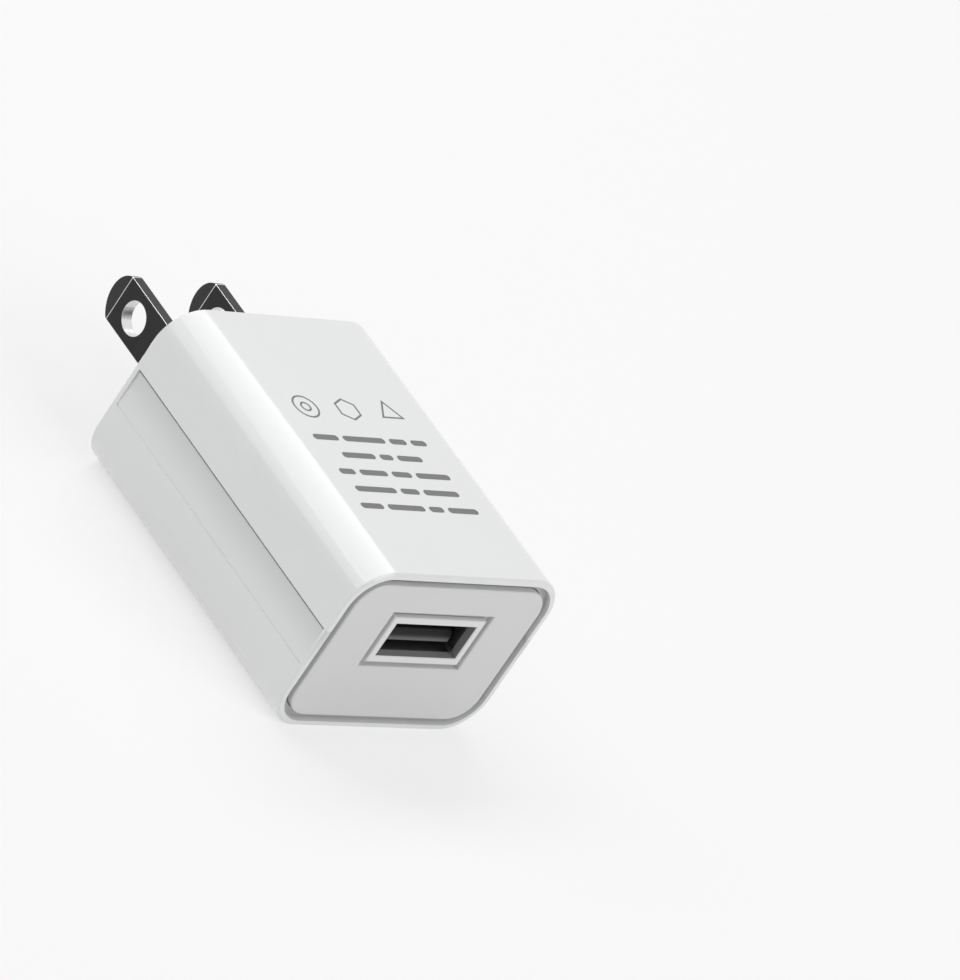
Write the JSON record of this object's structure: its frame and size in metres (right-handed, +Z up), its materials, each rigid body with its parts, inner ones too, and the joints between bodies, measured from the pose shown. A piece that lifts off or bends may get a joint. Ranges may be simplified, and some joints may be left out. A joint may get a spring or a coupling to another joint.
{
  "type": "usb wall charger",
  "caption": "Compact white mains charger: rounded box with a USB-A socket in one end and fixed flat blades on the other.",
  "frame": {"origin": "middle of the whole length and width, on the broad face that the charger rests on", "axes": "+X to the right seen from the socket end, +Y from the socket end towards the blade tips, +Z up from the resting face"},
  "size_m": [0.0316, 0.0592, 0.0225],
  "materials": {
    "housing_plastic": "white gloss moulding",
    "collar_plastic": "white gloss moulding",
    "blade_metal": "bright nickel plate over brass",
    "receptacle_steel": "tin-plated sheet steel",
    "tongue_plastic": "black moulding",
    "contact_metal": "gold flash over phosphor bronze",
    "ferrite": "dark sintered ferrite",
    "bobbin_plastic": "black phenolic",
    "winding_wire": "enamelled copper wire",
    "tape_film": "yellow polyester tape",
    "tinned_wire": "tinned copper",
    "can_sleeve": "shrink-sleeved aluminium can",
    "resistor_coat": "flameproof coating",
    "disc_coat": "dipped blue coating",
    "chip_resin": "moulded resin",
    "chip_ceramic": "chip ceramic with tinned ends",
    "board_laminate": "glass laminate with green resist"
  },
  "bodies": {
    "root": {"sleeve": "housing_plastic", "socket_end_cover": "housing_plastic", "blade_base": "housing_plastic", "port_collar": "collar_plastic", "blade_left": "blade_metal", "blade_right": "blade_metal", "receptacle_shell": "receptacle_steel", "receptacle_tongue": "tongue_plastic", "contact_power": "contact_metal", "contact_data_minus": "contact_metal", "contact_data_plus": "contact_metal", "contact_ground": "contact_metal", "transformer_core_upper": "ferrite", "transformer_core_lower": "ferrite", "transformer_bobbin": "bobbin_plastic", "transformer_winding": "winding_wire", "winding_tape": "tape_film", "transformer_pins": "tinned_wire", "input_capacitor_left": "can_sleeve", "input_capacitor_right": "can_sleeve", "output_capacitor_left": "can_sleeve", "output_capacitor_right": "can_sleeve", "supply_capacitor": "can_sleeve", "filter_choke": "ferrite", "fusible_resistor": "resistor_coat", "safety_capacitor": "disc_coat", "live_lead": "tinned_wire", "neutral_lead": "tinned_wire", "controller_chip": "chip_resin", "bridge_rectifier": "chip_resin", "output_diode": "chip_resin", "chip_resistors": "chip_ceramic", "chip_capacitors": "chip_ceramic", "circuit_board": "board_laminate"}
  },
  "joints": []
}
